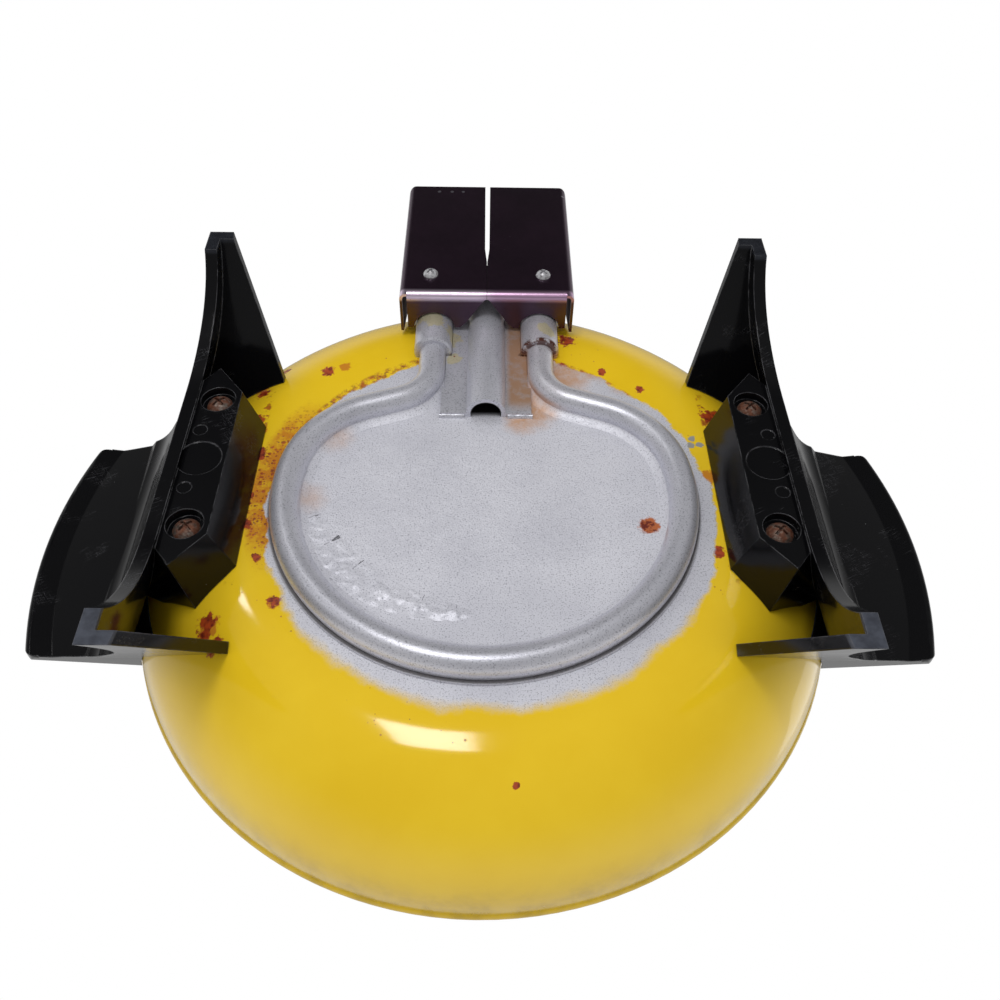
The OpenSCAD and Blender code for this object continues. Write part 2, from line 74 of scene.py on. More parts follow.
ENAMEL = tint(236, 199, 40)
ENAMEL_DEEP = tint(228, 188, 26)
# baked film below the rim, also used as painted shade there
BAKED_FILM_AND_SHADE = tint(92, 70, 26)
AMBER = tint(194, 114, 40)
RUST_DEEP = tint(104, 28, 10)
RUST_BRIGHT = tint(172, 66, 18)
RUST_LIGHT = tint(178, 96, 48)
CHIPPED = tint(150, 150, 146)
BORE_BLACK = tint(22, 19, 18)
SILVER_PAINT = tint(222, 222, 230)
SILVER_SHADE = tint(208, 208, 217)
SILVER_GRAIN = tint(158, 158, 168)
SILVER_PIT = tint(72, 68, 70)
HEAT_TINT = tint(206, 160, 124)
# painted shade for the crevice beside the ring
CREVICE_SHADE = tint(56, 50, 48)


# ---------------------------------------------------------------- node helpers
def feed(tree, socket, value):
    """Links a socket, or writes its value."""
    if isinstance(value, bpy.types.NodeSocket):
        tree.links.new(value, socket)
    elif socket.type == "RGBA":
        socket.default_value = (*value[:3], 1.0)
    else:
        socket.default_value = value


def node(tree, kind, inputs=None, **settings):
    """Adds a node, sets it up and feeds its sockets with values or other sockets."""
    made = tree.nodes.new(kind)
    for name, value in settings.items():
        setattr(made, name, value)
    for name, value in (inputs or {}).items():
        feed(tree, made.inputs[name], value)
    return made


def calc(tree, operation, a, b=0.0, c=0.0):
    return node(tree, "ShaderNodeMath", {0: a, 1: b, 2: c}, operation=operation).outputs[0]


def blend(tree, factor, low, high):
    """Mixes two colours."""
    return node(tree, "ShaderNodeMix", {0: factor, 6: low, 7: high},
                data_type="RGBA", blend_type="MIX", clamp_factor=True).outputs[2]


def ramp(tree, value, low, high):
    """0 at low, 1 at high, eased between them."""
    return node(tree, "ShaderNodeMapRange", {0: value, 1: low, 2: high, 3: 0.0, 4: 1.0},
                interpolation_type="SMOOTHSTEP").outputs[0]


def distance(tree, place, point=(0.0, 0.0, 0.0)):
    """How far a place, given as three values or sockets, is from a point."""
    spot = node(tree, "ShaderNodeCombineXYZ", dict(enumerate(place)))
    return node(tree, "ShaderNodeVectorMath", {0: spot.outputs[0], 1: point},
                operation="DISTANCE").outputs["Value"]


def fine_scale(tree, size):
    """A texture's scale for a size that comes in millimetres."""
    return calc(tree, "DIVIDE", 1000.0, size)


# ---------------------------------------------------------------- shared effects
FLOAT, VECTOR = "NodeSocketFloat", "NodeSocketVector"


def new_group(name, inputs, outputs):
    """An empty shader group that takes a position and the named values, {name: default}."""
    tree = bpy.data.node_groups.new(name, "ShaderNodeTree")
    tree.interface.new_socket("Position", in_out="INPUT", socket_type=VECTOR)
    for label, default in inputs.items():
        kind = VECTOR if default is None else FLOAT
        socket = tree.interface.new_socket(label, in_out="INPUT", socket_type=kind)
        if default is not None:
            socket.default_value = default
    for label in outputs:
        tree.interface.new_socket(label, in_out="OUTPUT", socket_type=FLOAT)
    given, out = tree.nodes.new("NodeGroupInput"), tree.nodes.new("NodeGroupOutput")
    return tree, given.outputs, out.inputs


def make_blotch_group():
    """Soft irregular patches over the whole surface."""
    tree, given, out = new_group(
        "blotches", {"Size mm": 10.0, "Cover": 0.5, "Edge": 0.1}, ["Mask", "Value"])
    cloud = node(tree, "ShaderNodeTexNoise", {
        "Vector": given["Position"], "Scale": fine_scale(tree, given["Size mm"]),
        "Detail": 5.0, "Roughness": 0.6}).outputs["Fac"]
    middle = calc(tree, "SUBTRACT", 0.72, calc(tree, "MULTIPLY", given["Cover"], 0.44))
    low = calc(tree, "SUBTRACT", middle, given["Edge"])
    high = calc(tree, "ADD", middle, given["Edge"])
    tree.links.new(ramp(tree, cloud, low, high), out["Mask"])
    tree.links.new(cloud, out["Value"])
    return tree


def make_speckle_group():
    """Small separate dots, of uneven size."""
    tree, given, out = new_group(
        "speckles", {"Spacing mm": 3.0, "Dot": 0.2, "Share": 0.5}, ["Mask"])
    cells = node(tree, "ShaderNodeTexVoronoi", {
        "Vector": given["Position"], "Scale": fine_scale(tree, given["Spacing mm"])})
    chance = node(tree, "ShaderNodeSeparateColor", {0: cells.outputs["Color"]}).outputs
    size = calc(tree, "MULTIPLY", given["Dot"], calc(tree, "MULTIPLY_ADD", chance[1], 0.8, 0.3))
    dot = ramp(tree, cells.outputs["Distance"], size, calc(tree, "MULTIPLY", size, 0.55))
    chosen = calc(tree, "LESS_THAN", chance[0], given["Share"])
    tree.links.new(calc(tree, "MULTIPLY", dot, chosen), out["Mask"])
    return tree


def make_patch_group():
    """One ragged patch round a point."""
    tree, given, out = new_group(
        "patch", {"Centre": None, "Radius mm": 5.0, "Ragged": 0.6, "Grain mm": 4.0, "Soft": 0.28},
        ["Mask"])
    away = node(tree, "ShaderNodeVectorMath", {0: given["Position"], 1: given["Centre"]},
                operation="DISTANCE").outputs["Value"]
    share = calc(tree, "DIVIDE", calc(tree, "MULTIPLY", away, 1000.0), given["Radius mm"])
    cloud = node(tree, "ShaderNodeTexNoise", {
        "Vector": given["Position"], "Scale": fine_scale(tree, given["Grain mm"]),
        "Detail": 6.0, "Roughness": 0.65}).outputs["Fac"]
    torn = calc(tree, "MULTIPLY", calc(tree, "SUBTRACT", cloud, 0.5),
                calc(tree, "MULTIPLY", given["Ragged"], 4.0))
    full = calc(tree, "SUBTRACT", 1.0, given["Soft"])
    tree.links.new(ramp(tree, calc(tree, "ADD", share, torn), 1.0, full), out["Mask"])
    return tree


def make_grain_group():
    """Fine uneven height for cast, sprayed and moulded surfaces."""
    tree, given, out = new_group(
        "grain", {"Size mm": 0.6, "Wave mm": 9.0, "Wave share": 0.4}, ["Height", "Fine"])
    fine = node(tree, "ShaderNodeTexNoise", {
        "Vector": given["Position"], "Scale": fine_scale(tree, given["Size mm"]),
        "Detail": 3.0, "Roughness": 0.55}).outputs["Fac"]
    wave = node(tree, "ShaderNodeTexNoise", {
        "Vector": given["Position"], "Scale": fine_scale(tree, given["Wave mm"]),
        "Detail": 2.0, "Roughness": 0.5}).outputs["Fac"]
    height = node(tree, "ShaderNodeMix", {0: given["Wave share"], 2: fine, 3: wave},
                  data_type="FLOAT")
    tree.links.new(height.outputs[0], out["Height"])
    tree.links.new(fine, out["Fine"])
    return tree


def make_scratch_group():
    """Thin straight scuffs, gathered in patches."""
    tree, given, out = new_group(
        "scratches", {"Length mm": 9.0, "Turn": 0.6, "Amount": 0.5}, ["Mask"])
    turned = node(tree, "ShaderNodeVectorRotate", {
        "Vector": given["Position"], "Angle": given["Turn"]}, rotation_type="Z_AXIS")
    drawn = node(tree, "ShaderNodeVectorMath", {0: turned.outputs[0], 1: (0.06, 1.0, 0.35)},
                 operation="MULTIPLY")
    hair = node(tree, "ShaderNodeTexNoise", {
        "Vector": drawn.outputs[0], "Scale": calc(tree, "DIVIDE", 9000.0, given["Length mm"]),
        "Detail": 2.0, "Roughness": 0.7}).outputs["Fac"]
    line = ramp(tree, calc(tree, "ABSOLUTE", calc(tree, "SUBTRACT", hair, 0.5)), 0.012, 0.002)
    cloud = node(tree, "ShaderNodeTexNoise", {
        "Vector": given["Position"], "Scale": 70.0, "Detail": 2.0}).outputs["Fac"]
    more = calc(tree, "MULTIPLY", given["Amount"], 0.4)
    chosen = ramp(tree, cloud, calc(tree, "SUBTRACT", 0.75, more),
                  calc(tree, "SUBTRACT", 0.83, more))
    tree.links.new(calc(tree, "MULTIPLY", line, chosen), out["Mask"])
    return tree


BLOTCHES = make_blotch_group()
SPECKLES = make_speckle_group()
PATCH = make_patch_group()
GRAIN = make_grain_group()
SCRATCHES = make_scratch_group()


class Finish:
    """One material being built: its tree, its shader and the place on the surface."""

    def __init__(self, name):
        self.material = bpy.data.materials.new(name)
        self.material.use_nodes = True
        self.tree = self.material.node_tree
        self.shader = self.tree.nodes["Principled BSDF"]
        self.place = node(self.tree, "ShaderNodeTexCoord").outputs["Object"]
        self.x, self.y, self.z = node(self.tree, "ShaderNodeSeparateXYZ", {0: self.place}).outputs
        self.y_pan = self.calc("SUBTRACT", self.y, mm(AXIS_Y))
        self.radius = self.distance((self.x, self.y_pan, 0.0))

    # arithmetic on masks and values
    def calc(self, operation, a, b=0.0, c=0.0):
        return calc(self.tree, operation, a, b, c)

    def plus(self, a, b):
        return self.calc("ADD", a, b)

    def minus(self, a, b):
        return self.calc("SUBTRACT", a, b)

    def times(self, whole, *others):
        for other in others:
            whole = self.calc("MULTIPLY", whole, other)
        return whole

    def most(self, whole, *others):
        """The strongest of several masks."""
        for other in others:
            whole = self.calc("MAXIMUM", whole, other)
        return whole

    def inverse(self, mask):
        return self.calc("SUBTRACT", 1.0, mask)

    def above(self, value, limit):
        return self.calc("GREATER_THAN", value, limit)

    def below(self, value, limit):
        return self.calc("LESS_THAN", value, limit)

    def scaled(self, value, scale, start):
        """The value times scale, on top of start."""
        return self.calc("MULTIPLY_ADD", value, scale, start)

    def shift(self, mask, low, high):
        """Low where the mask is 0, high where it is 1."""
        return self.calc("MULTIPLY_ADD", mask, self.minus(high, low), low)

    def ramp(self, value, low, high):
        return ramp(self.tree, value, low, high)

    def near(self, value, middle, full, none):
        """1 within full of the middle, eased to 0 at none."""
        return self.ramp(self.calc("ABSOLUTE", self.minus(value, middle)), none, full)

    def distance(self, place, point=(0.0, 0.0, 0.0)):
        return distance(self.tree, place, point)

    def blend(self, factor, low, high):
        return blend(self.tree, factor, low, high)

    # shared effects at this finish's place
    def effect(self, group, inputs):
        made = self.tree.nodes.new("ShaderNodeGroup")
        made.node_tree = group
        feed(self.tree, made.inputs["Position"], self.place)
        for name, value in inputs.items():
            feed(self.tree, made.inputs[name], value)
        return made.outputs

    def blotches(self, size, cover, edge):
        return self.effect(BLOTCHES, {"Size mm": size, "Cover": cover, "Edge": edge})["Mask"]

    def cloud(self, size):
        """The same clouds as blotches has, before they are cut into a mask."""
        return self.effect(BLOTCHES, {"Size mm": size})["Value"]

    def speckles(self, spacing, dot, share):
        return self.effect(
            SPECKLES, {"Spacing mm": spacing, "Dot": dot, "Share": share})["Mask"]

    def grain(self, size, wave, share):
        return self.effect(GRAIN, {"Size mm": size, "Wave mm": wave, "Wave share": share})

    def scratches(self, length, turn, amount):
        return self.effect(
            SCRATCHES, {"Length mm": length, "Turn": turn, "Amount": amount})["Mask"]

    def patches(self, spots, ragged, grain, soft=0.28):
        """Ragged patches, (x, y, z, radius) in millimetres from the pan's axis, as one mask."""
        return self.most(*(self.effect(PATCH, {
            "Centre": mm(x, y + AXIS_Y, z), "Radius mm": reach, "Ragged": ragged,
            "Grain mm": grain, "Soft": soft})["Mask"] for x, y, z, reach in spots))

    # the shader
    def set(self, **values):
        """Feeds the shader: base_color=..., roughness=... and so on."""
        for name, value in values.items():
            label = name.replace("_", " ").title().replace("Ior", "IOR")
            feed(self.tree, self.shader.inputs[label], value)

    def bump(self, height, depth_mm, base=None):
        inputs = {"Height": height, "Distance": mm(depth_mm)}
        if base is not None:
            inputs["Normal"] = base
        bumped = node(self.tree, "ShaderNodeBump", inputs)
        self.tree.links.new(bumped.outputs[0], self.shader.inputs["Normal"])

    def dress(self, *names):
        """Puts the finish on named nodes of the frame."""
        for name in names:
            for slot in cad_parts[name].material_slots:
                slot.material = self.material
        return self.material


# ---------------------------------------------------------------- where wear and dirt are
# each spot is (x, y, z, radius) in millimetres from the pan's axis
HEAT_TINT_SPOTS = (
    (16, -37, 41, 11), (22, -46, 41, 13), (27, -55, 41, 14), (19, -64, 41, 16),
    (37, -60, 41, 11), (49, -52, 41, 8), (12, -32, 41, 8))
FAINT_HEAT_TINT_SPOTS = ((-11, -68, 41, 8), (-50, -24, 41, 9), (-55, 2, 41, 8))
AMBER_SPOTS = (
    (-76, -28, 42, 3.4), (-79, -52, 45, 3.4), (-78, 48, 45, 3.4), (72, -8, 41, 3),
    (-60, 41, 41, 2.2), (-50, -59, 41.3, 2.4))
SPARSE_DIRT_SPOTS = (
    (72, 10, 41, 13), (70, -26, 41, 9), (72, 30, 42, 10), (-34, 68, 42, 8), (-55, 50, 41, 7),
    (-8, 79, 42, 9), (36, -68, 41, 8), (-24, 77, 42, 7), (-66, 34, 41, 8))
RUST_SPOTS = (
    (-73.8, -16.5, 41, 3.4), (-73.9, 1.6, 41, 2.2), (-73.4, 4.6, 41, 1.6),
    (-73.0, 12.4, 41, 2.4), (-78, -49, 44, 3.2), (-77, -33, 42, 3.6), (-67.9, 25.2, 41, 1.7),
    (-78.6, 45.5, 45, 3.6), (-79.3, 50, 46, 3.4), (-75.6, 53, 45, 3.2),
    (-55.8, -57.0, 41.3, 3.0), (-72.5, -62.5, 47, 2.4), (-60.0, 40.8, 41, 2.6),
    (29.3, -74.7, 41.4, 4.2), (76.2, -36.8, 42.2, 4.0), (79.5, -39.5, 43, 2.4),
    (27.2, -60.5, 41, 2.4), (41, -57.5, 41, 2.0), (53.4, -48.5, 41, 2.0),
    (8.6, 93.4, 46, 1.2), (70.5, 22, 41, 2.4))
CHIP_SPOTS = ((67.8, -22.0, 41, 1.5), (71.0, -22.4, 41, 1.4), (68.6, -25.0, 41, 1.4))
RUST_BLOOM = (50.4, 12.5, 41)
OVERSPRAY_SPOTS = (
    (-12.4, -72, 37, 4.5), (-19, -75, 32, 4.5), (-24.5, -78, 35, 4), (21.5, -70, 32.4, 3.6),
    (-12, -88, 38, 6), (-11.5, -62, 39.4, 3))
SLEEVE_SPECK_SPOTS = ((-10.5, -62, 39.4, 2.6),)
GUARD_NICK_SPOTS = (
    (-19.3, -143.4, 23, 0.8), (-14.2, -143.4, 23, 0.8), (-9.8, -143.4, 23, 0.7),
    (29.6, -141, 23.4, 0.7))


# ---------------------------------------------------------------- the pan's finish
def silver_paint(finish, warm):
    """Sprayed aluminium paint: its colour, roughness and height, with a warm heat tint."""
    grain = finish.grain(0.45, 5.0, 0.25)
    colour = finish.blend(finish.blotches(26, 0.5, 0.22), SILVER_PAINT, SILVER_SHADE)
    colour = finish.blend(finish.ramp(grain["Fine"], 0.48, 0.3), colour, SILVER_GRAIN)
    pits = finish.speckles(2.4, 0.12, 0.07)
    colour = finish.blend(finish.times(pits, 0.6), colour, SILVER_PIT)
    mottled = finish.times(
        warm, finish.scaled(finish.ramp(finish.cloud(3.4), 0.3, 0.62), 0.4, 0.6), 0.95)
    colour = finish.blend(mottled, colour, HEAT_TINT)
    rough = finish.scaled(grain["Fine"], 0.24, 0.28)
    height = finish.minus(grain["Height"], finish.times(pits, 0.5))
    return colour, rough, height


def inside_of_pan(finish):
    """1 on the coated side of the pan's wall and bottom, 0 on the enamelled side."""
    away = finish.minus(finish.radius, mm(FLAT_R))
    lift = finish.minus(finish.z, mm(PAN_BOTTOM + SHOULDER_R))
    in_flank = finish.times(finish.above(away, 0.0),
                            finish.below(finish.distance((away, lift, 0.0)), mm(MID_WALL_R)))
    on_floor = finish.times(finish.below(away, 1e-6), finish.above(finish.z, mm(MID_FLOOR)))
    return finish.most(in_flank, on_floor)


def painted_disc(finish, inside):
    """The silver disc underneath: its edge wanders, and is soft where the spray ran out."""
    wander = finish.times(finish.minus(finish.cloud(14), 0.5), mm(7.0))
    crumble = finish.times(finish.minus(finish.grain(0.7, 2.5, 0.6)["Height"], 0.5), mm(2.4))
    spread = finish.distance((finish.x, finish.y_pan, 0.0), (*mm(*PAINT_MIDDLE), 0.0))
    spread = finish.plus(finish.plus(spread, wander), crumble)
    softness = finish.scaled(finish.ramp(finish.y_pan, mm(20), mm(70)), mm(2.2), mm(0.5))
    disc = finish.ramp(spread, finish.plus(softness, mm(PAINT_R)),
                       finish.minus(mm(PAINT_R), softness))
    return finish.times(disc, finish.inverse(inside))


def sprayed_bottom(finish):
    """Silver paint with its heat tint, one rust bloom and a painted shadow in the crevice beside
    the ring.
    """
    faint = finish.patches(FAINT_HEAT_TINT_SPOTS, 0.15, 4.0, 0.9)
    warm = finish.most(finish.patches(HEAT_TINT_SPOTS, 0.15, 5.0, 0.85),
                       finish.times(faint, 0.45))
    colour, rough, height = silver_paint(finish, warm)
    bloom = finish.patches([(*RUST_BLOOM, 3.6)], 0.35, 2.2)
    heart = finish.times(finish.patches([(*RUST_BLOOM, 3.0)], 0.5, 1.5),
                         finish.ramp(finish.cloud(1.3), 0.42, 0.58))
    colour = finish.blend(bloom, colour, RUST_LIGHT)
    colour = finish.blend(heart, colour, RUST_DEEP)
    # painted shadow in the crevice along the ring's outer side, all round but at the back
    crevice_shade = finish.times(
        finish.ramp(finish.radius, mm(67.9), mm(66.9)), finish.above(finish.radius, mm(RING_R)),
        finish.ramp(finish.y_pan, mm(-24), mm(-12)), 0.85)
    colour = finish.blend(crevice_shade, colour, CREVICE_SHADE)
    metal = finish.times(finish.inverse(bloom), 0.27)
    return colour, rough, height, metal


def rim_film_and_shade(finish, inside):
    """Film that baked on below the rim and was smeared, over an even painted shade that darkens
    towards the rim.
    """
    below_rim = finish.times(finish.ramp(finish.z, mm(FILM_AND_SHADE_FROM), mm(FILM_AND_SHADE_FULL)),
                             finish.inverse(inside))
    return finish.times(below_rim, finish.scaled(finish.blotches(6, 0.4, 0.2), 0.24, 0.22))


def dirty_strip(finish):
    """The strip between the ring and the left handle's block."""
    return finish.times(
        finish.ramp(finish.radius, mm(75.5), mm(72.0)), finish.ramp(finish.x, mm(-52), mm(-58)),
        finish.ramp(finish.y_pan, mm(-44), mm(-24)), finish.ramp(finish.y_pan, mm(33), mm(16)))


def amber_film(finish, strip):
    """Brown film that crept out from under the handles."""
    torn = finish.ramp(finish.plus(
        finish.cloud(5), finish.times(finish.grain(0.5, 1.4, 0.5)["Height"], 0.5)), 0.62, 0.82)
    return finish.most(finish.times(strip, finish.scaled(torn, 0.5, 0.5)),
                       finish.patches(AMBER_SPOTS, 0.5, 2.0))


def burnt_crumbs(finish, strip):
    """Crumbs over the strip, round the disc's edge and along the handles' blocks."""
    on_strip = finish.times(strip, finish.most(finish.speckles(1.0, 0.55, 0.7),
                                               finish.speckles(1.8, 0.5, 0.5)))
    round_disc = finish.times(
        finish.ramp(finish.radius, mm(68.4), mm(67.0)),
        finish.ramp(finish.grain(0.5, 2.6, 0.6)["Height"], 0.44, 0.6),
        finish.ramp(finish.y_pan, mm(45), mm(20)))
    beside_blocks = finish.times(
        finish.near(finish.calc("ABSOLUTE", finish.x), mm(74.4), mm(0.8), mm(1.8)),
        finish.ramp(finish.cloud(3.0), 0.52, 0.6),
        finish.near(finish.y_pan, mm(-8), mm(36), mm(44)))
    return finish.most(on_strip, round_disc, beside_blocks)


def worn_enamel(finish, inside):
    """Yellow enamel with baked film and painted shade below the rim, stains and chips: colour,
    roughness and the stains' mask.
    """
    flow = finish.blotches(60, 0.5, 0.25)
    film_and_shade = rim_film_and_shade(finish, inside)
    strip = dirty_strip(finish)
    sparse = finish.times(finish.speckles(1.6, 0.22, 0.45),
                          finish.patches(SPARSE_DIRT_SPOTS, 0.3, 6.0), 0.65)
    dots = finish.times(finish.speckles(5.2, 0.06, 0.12),
                        finish.ramp(finish.radius, mm(104), mm(86)))
    rust = finish.patches(RUST_SPOTS, 0.7, 1.9, 0.65)
    stains = finish.most(finish.ramp(rust, 0.38, 0.55),
                         finish.times(burnt_crumbs(finish, strip), 0.85), sparse, dots)

    colour = finish.blend(flow, ENAMEL, ENAMEL_DEEP)
    # baked film in blotches, over an even painted shade darkening towards the rim
    colour = finish.blend(film_and_shade, colour, BAKED_FILM_AND_SHADE)
    colour = finish.blend(finish.times(amber_film(finish, strip), 0.85), colour, AMBER)
    colour = finish.blend(finish.times(finish.ramp(rust, 0.04, 0.35), 0.75), colour, AMBER)
    ragged = finish.ramp(finish.cloud(1.6), 0.35, 0.6)
    colour = finish.blend(stains, colour, finish.blend(ragged, RUST_DEEP, RUST_BRIGHT))
    colour = finish.blend(finish.patches(CHIP_SPOTS, 0.5, 1.6), colour, CHIPPED)
    rough = finish.scaled(film_and_shade, 0.5, finish.scaled(stains, 0.35, finish.scaled(flow, 0.03, 0.07)))
    return colour, rough, stains


def charcoal_coating(finish):
    """The non-stick coating inside, rubbed a little paler where it is stirred."""
    colour = finish.blend(finish.ramp(finish.grain(0.5, 3.0, 0.4)["Fine"], 0.35, 0.65),
                          tint(44, 44, 47), tint(60, 60, 63))
    rubbed = finish.times(finish.scratches(30, 0.9, 0.75),
                          finish.ramp(finish.radius, mm(92), mm(70)), 0.15)
    return finish.blend(rubbed, colour, tint(120, 120, 122))


def make_pan_finish():
    finish = Finish("enamelled_pan")
    inside = inside_of_pan(finish)
    painted = painted_disc(finish, inside)
    silver, silver_rough, silver_height, silver_metal = sprayed_bottom(finish)
    enamel, rough, stains = worn_enamel(finish, inside)

    colour = finish.blend(painted, enamel, silver)
    # the bottom is coloured near black inside the probe's tunnel
    in_tunnel = finish.times(
        finish.ramp(finish.calc("ABSOLUTE", finish.x), mm(BORE_R), mm(BORE_R - 0.4)),
        finish.ramp(finish.y_pan, mm(-34.5), mm(-37)), painted)
    colour = finish.blend(in_tunnel, colour, BORE_BLACK)
    colour = finish.blend(inside, colour, charcoal_coating(finish))
    rough = finish.shift(inside, finish.shift(painted, rough, silver_rough), 0.42)
    peel = finish.grain(1.4, 11.0, 0.75)["Height"]
    height = finish.scaled(painted, finish.plus(silver_height, 0.35), finish.times(peel, 0.22))
    height = finish.scaled(stains, 0.6, height)
    finish.set(base_color=colour, roughness=rough, metallic=finish.times(painted, silver_metal))
    finish.bump(height, 0.09)
    return finish.dress("pan_shell")


# ---------------------------------------------------------------- the other finishes
def make_element_finish():
    """The sheath, its sleeves and the probe channel, all sprayed with the pan's bottom."""
    finish = Finish("sprayed_element")
    low = finish.ramp(finish.z, mm(36.5), mm(39.4))
    warm = finish.times(finish.ramp(finish.x, mm(6.0), mm(9.0)),
                        finish.ramp(finish.y_pan, mm(-34), mm(-42)), finish.plus(low, 0.08))
    colour, rough, height = silver_paint(finish, warm)
    colour = finish.blend(0.12, colour, tint(150, 150, 158))
    overspray = finish.times(finish.patches(OVERSPRAY_SPOTS, 0.5, 3.0), 0.5)
    colour = finish.blend(overspray, colour, tint(228, 212, 128))
    specks = finish.times(finish.speckles(1.3, 0.3, 0.6),
                          finish.patches(SLEEVE_SPECK_SPOTS, 0.3, 2.0))
    colour = finish.blend(specks, colour, tint(150, 66, 30))
    # the mouth of the right sleeve is scorched
    scorched = finish.times(
        finish.near(finish.y_pan, mm(SLEEVE_MOUTH_Y), mm(0.3), mm(1.3)),
        finish.ramp(finish.x, mm(11), mm(12)),
        finish.ramp(finish.grain(0.6, 3.0, 0.6)["Height"], 0.42, 0.55))
    colour = finish.blend(scorched, colour, tint(96, 58, 48))
    # the bore of the probe channel is coloured near black
    from_bore = finish.distance((finish.x, 0.0, finish.z), (0.0, 0.0, mm(BORE_Z)))
    bore = finish.times(finish.ramp(from_bore, mm(BORE_R + 0.1), mm(BORE_R - 0.1)),
                        finish.ramp(finish.y, mm(-10), mm(-15)))
    colour = finish.blend(bore, colour, BORE_BLACK)
    finish.set(base_color=colour, roughness=finish.minus(rough, 0.05), metallic=0.58)
    finish.bump(height, 0.07)
    return finish.dress("element_sheath", "terminal_sleeve_left", "terminal_sleeve_right",
                        "probe_channel")


def make_guard_finish():
    finish = Finish("dark_anodised_sheet")
    grain = finish.grain(0.5, 18.0, 0.4)
    colour = finish.blend(finish.blotches(22, 0.5, 0.3), tint(80, 50, 76), tint(64, 38, 61))
    # painted highlight along the fold beside the pan: paler, and more so on the left half
    fold_highlight = finish.times(finish.ramp(finish.z, mm(26.6), mm(24.8)),
                        finish.ramp(finish.y, mm(-64.8), mm(-63.2)), 0.95)
    fold_highlight_tint = finish.blend(finish.ramp(finish.x, mm(-4), mm(4)),
                         tint(250, 228, 250), tint(206, 168, 200))
    colour = finish.blend(fold_highlight, colour, fold_highlight_tint)
    worn = finish.times(finish.speckles(2.1, 0.1, 0.1), 0.7)
    colour = finish.blend(worn, colour, tint(150, 120, 150))
    nicks = finish.patches(GUARD_NICK_SPOTS, 0.2, 1.0)
    colour = finish.blend(nicks, colour, tint(190, 184, 196))
    # the inside of the guard stayed dull
    within = finish.times(finish.below(finish.calc("ABSOLUTE", finish.x), mm(GUARD_INSIDE_X)),
                          finish.above(finish.z, mm(GUARD_INSIDE_Z)),
                          finish.below(finish.y, mm(GUARD_INSIDE_Y)))
    rough = finish.scaled(grain["Fine"], 0.12, finish.scaled(within, 0.4, 0.28))
    finish.set(base_color=colour, roughness=rough, metallic=finish.scaled(within, -0.4, 1.0),
               coat_weight=finish.inverse(within), coat_roughness=0.24)
    finish.bump(grain["Height"], 0.02)
    finish.dress("terminal_guard_left", "terminal_guard_right")


def make_phenolic_finish():
    finish = Finish("black_phenolic")
    scuffed = finish.most(finish.scratches(10, 0.5, 0.45), finish.scratches(7, 2.2, 0.35))
    colour = finish.blend(finish.times(scuffed, 0.35), tint(9, 9, 11), tint(84, 84, 88))
    dust = finish.times(finish.speckles(3.1, 0.06, 0.2), 0.8)
    colour = finish.blend(dust, colour, tint(110, 110, 112))
    # the feet are rubbed grey, the ones beside the guard less so
    foot = finish.times(finish.ramp(finish.z, mm(1.6), mm(0.4)),
                        finish.scaled(finish.ramp(finish.y, 0.0, mm(40)), 0.75, 0.25))
    colour = finish.blend(foot, colour, finish.blend(
        finish.blotches(4, 0.5, 0.2), tint(50, 53, 62), tint(70, 74, 84)))
    # sharp edges are rounded by wear; they are painted greyer, partly as wear and partly as a
    # painted highlight along them
    rounded = node(finish.tree, "ShaderNodeBevel", {"Radius": mm(0.6)}, samples=6).outputs[0]
    normal = node(finish.tree, "ShaderNodeNewGeometry").outputs["Normal"]
    facing = node(finish.tree, "ShaderNodeVectorMath", {0: rounded, 1: normal},
                  operation="DOT_PRODUCT").outputs["Value"]
    edge = finish.times(finish.ramp(facing, 0.96, 0.8),
                        finish.ramp(finish.cloud(5), 0.35, 0.6), 0.6)
    colour = finish.blend(edge, colour, tint(118, 118, 122))
    rough = finish.scaled(finish.blotches(16, 0.5, 0.25), 0.06, 0.1)
    rough = finish.scaled(foot, 0.45, finish.scaled(scuffed, 0.2, rough))
    finish.set(base_color=colour, roughness=rough, specular_ior_level=0.25)
    finish.bump(finish.grain(2.0, 14.0, 0.8)["Height"], 0.04, base=rounded)
    finish.dress("handle_left", "handle_right")


def make_screw_finishes():
    rusty = Finish("rusting_screw")
    worn = rusty.blotches(1.6, 0.62, 0.14)
    steel = rusty.blend(rusty.blotches(3.0, 0.5, 0.2), tint(150, 140, 132), tint(112, 98, 88))
    rust = rusty.blend(rusty.blotches(0.8, 0.5, 0.2), tint(120, 70, 44), tint(82, 46, 32))
    rusty.set(base_color=rusty.blend(worn, steel, rust), roughness=rusty.scaled(worn, 0.4, 0.32),
              metallic=rusty.scaled(worn, -0.65, 0.9))
    rusty.bump(rusty.scaled(worn, 0.5, rusty.grain(0.4, 2.0, 0.4)["Height"]), 0.12)
    rusty.dress("handle_screw_left_front", "handle_screw_left_back",
                "handle_screw_right_front", "handle_screw_right_back")
    bright = Finish("zinc_screw")
    dull = bright.blotches(1.8, 0.45, 0.16)
    bright.set(base_color=bright.blend(dull, tint(226, 226, 230), tint(140, 136, 138)),
               roughness=bright.scaled(dull, 0.25, 0.22), metallic=0.6)
    bright.bump(bright.grain(0.4, 2.0, 0.4)["Height"], 0.05)
    bright.dress("guard_screw_left", "guard_screw_right")


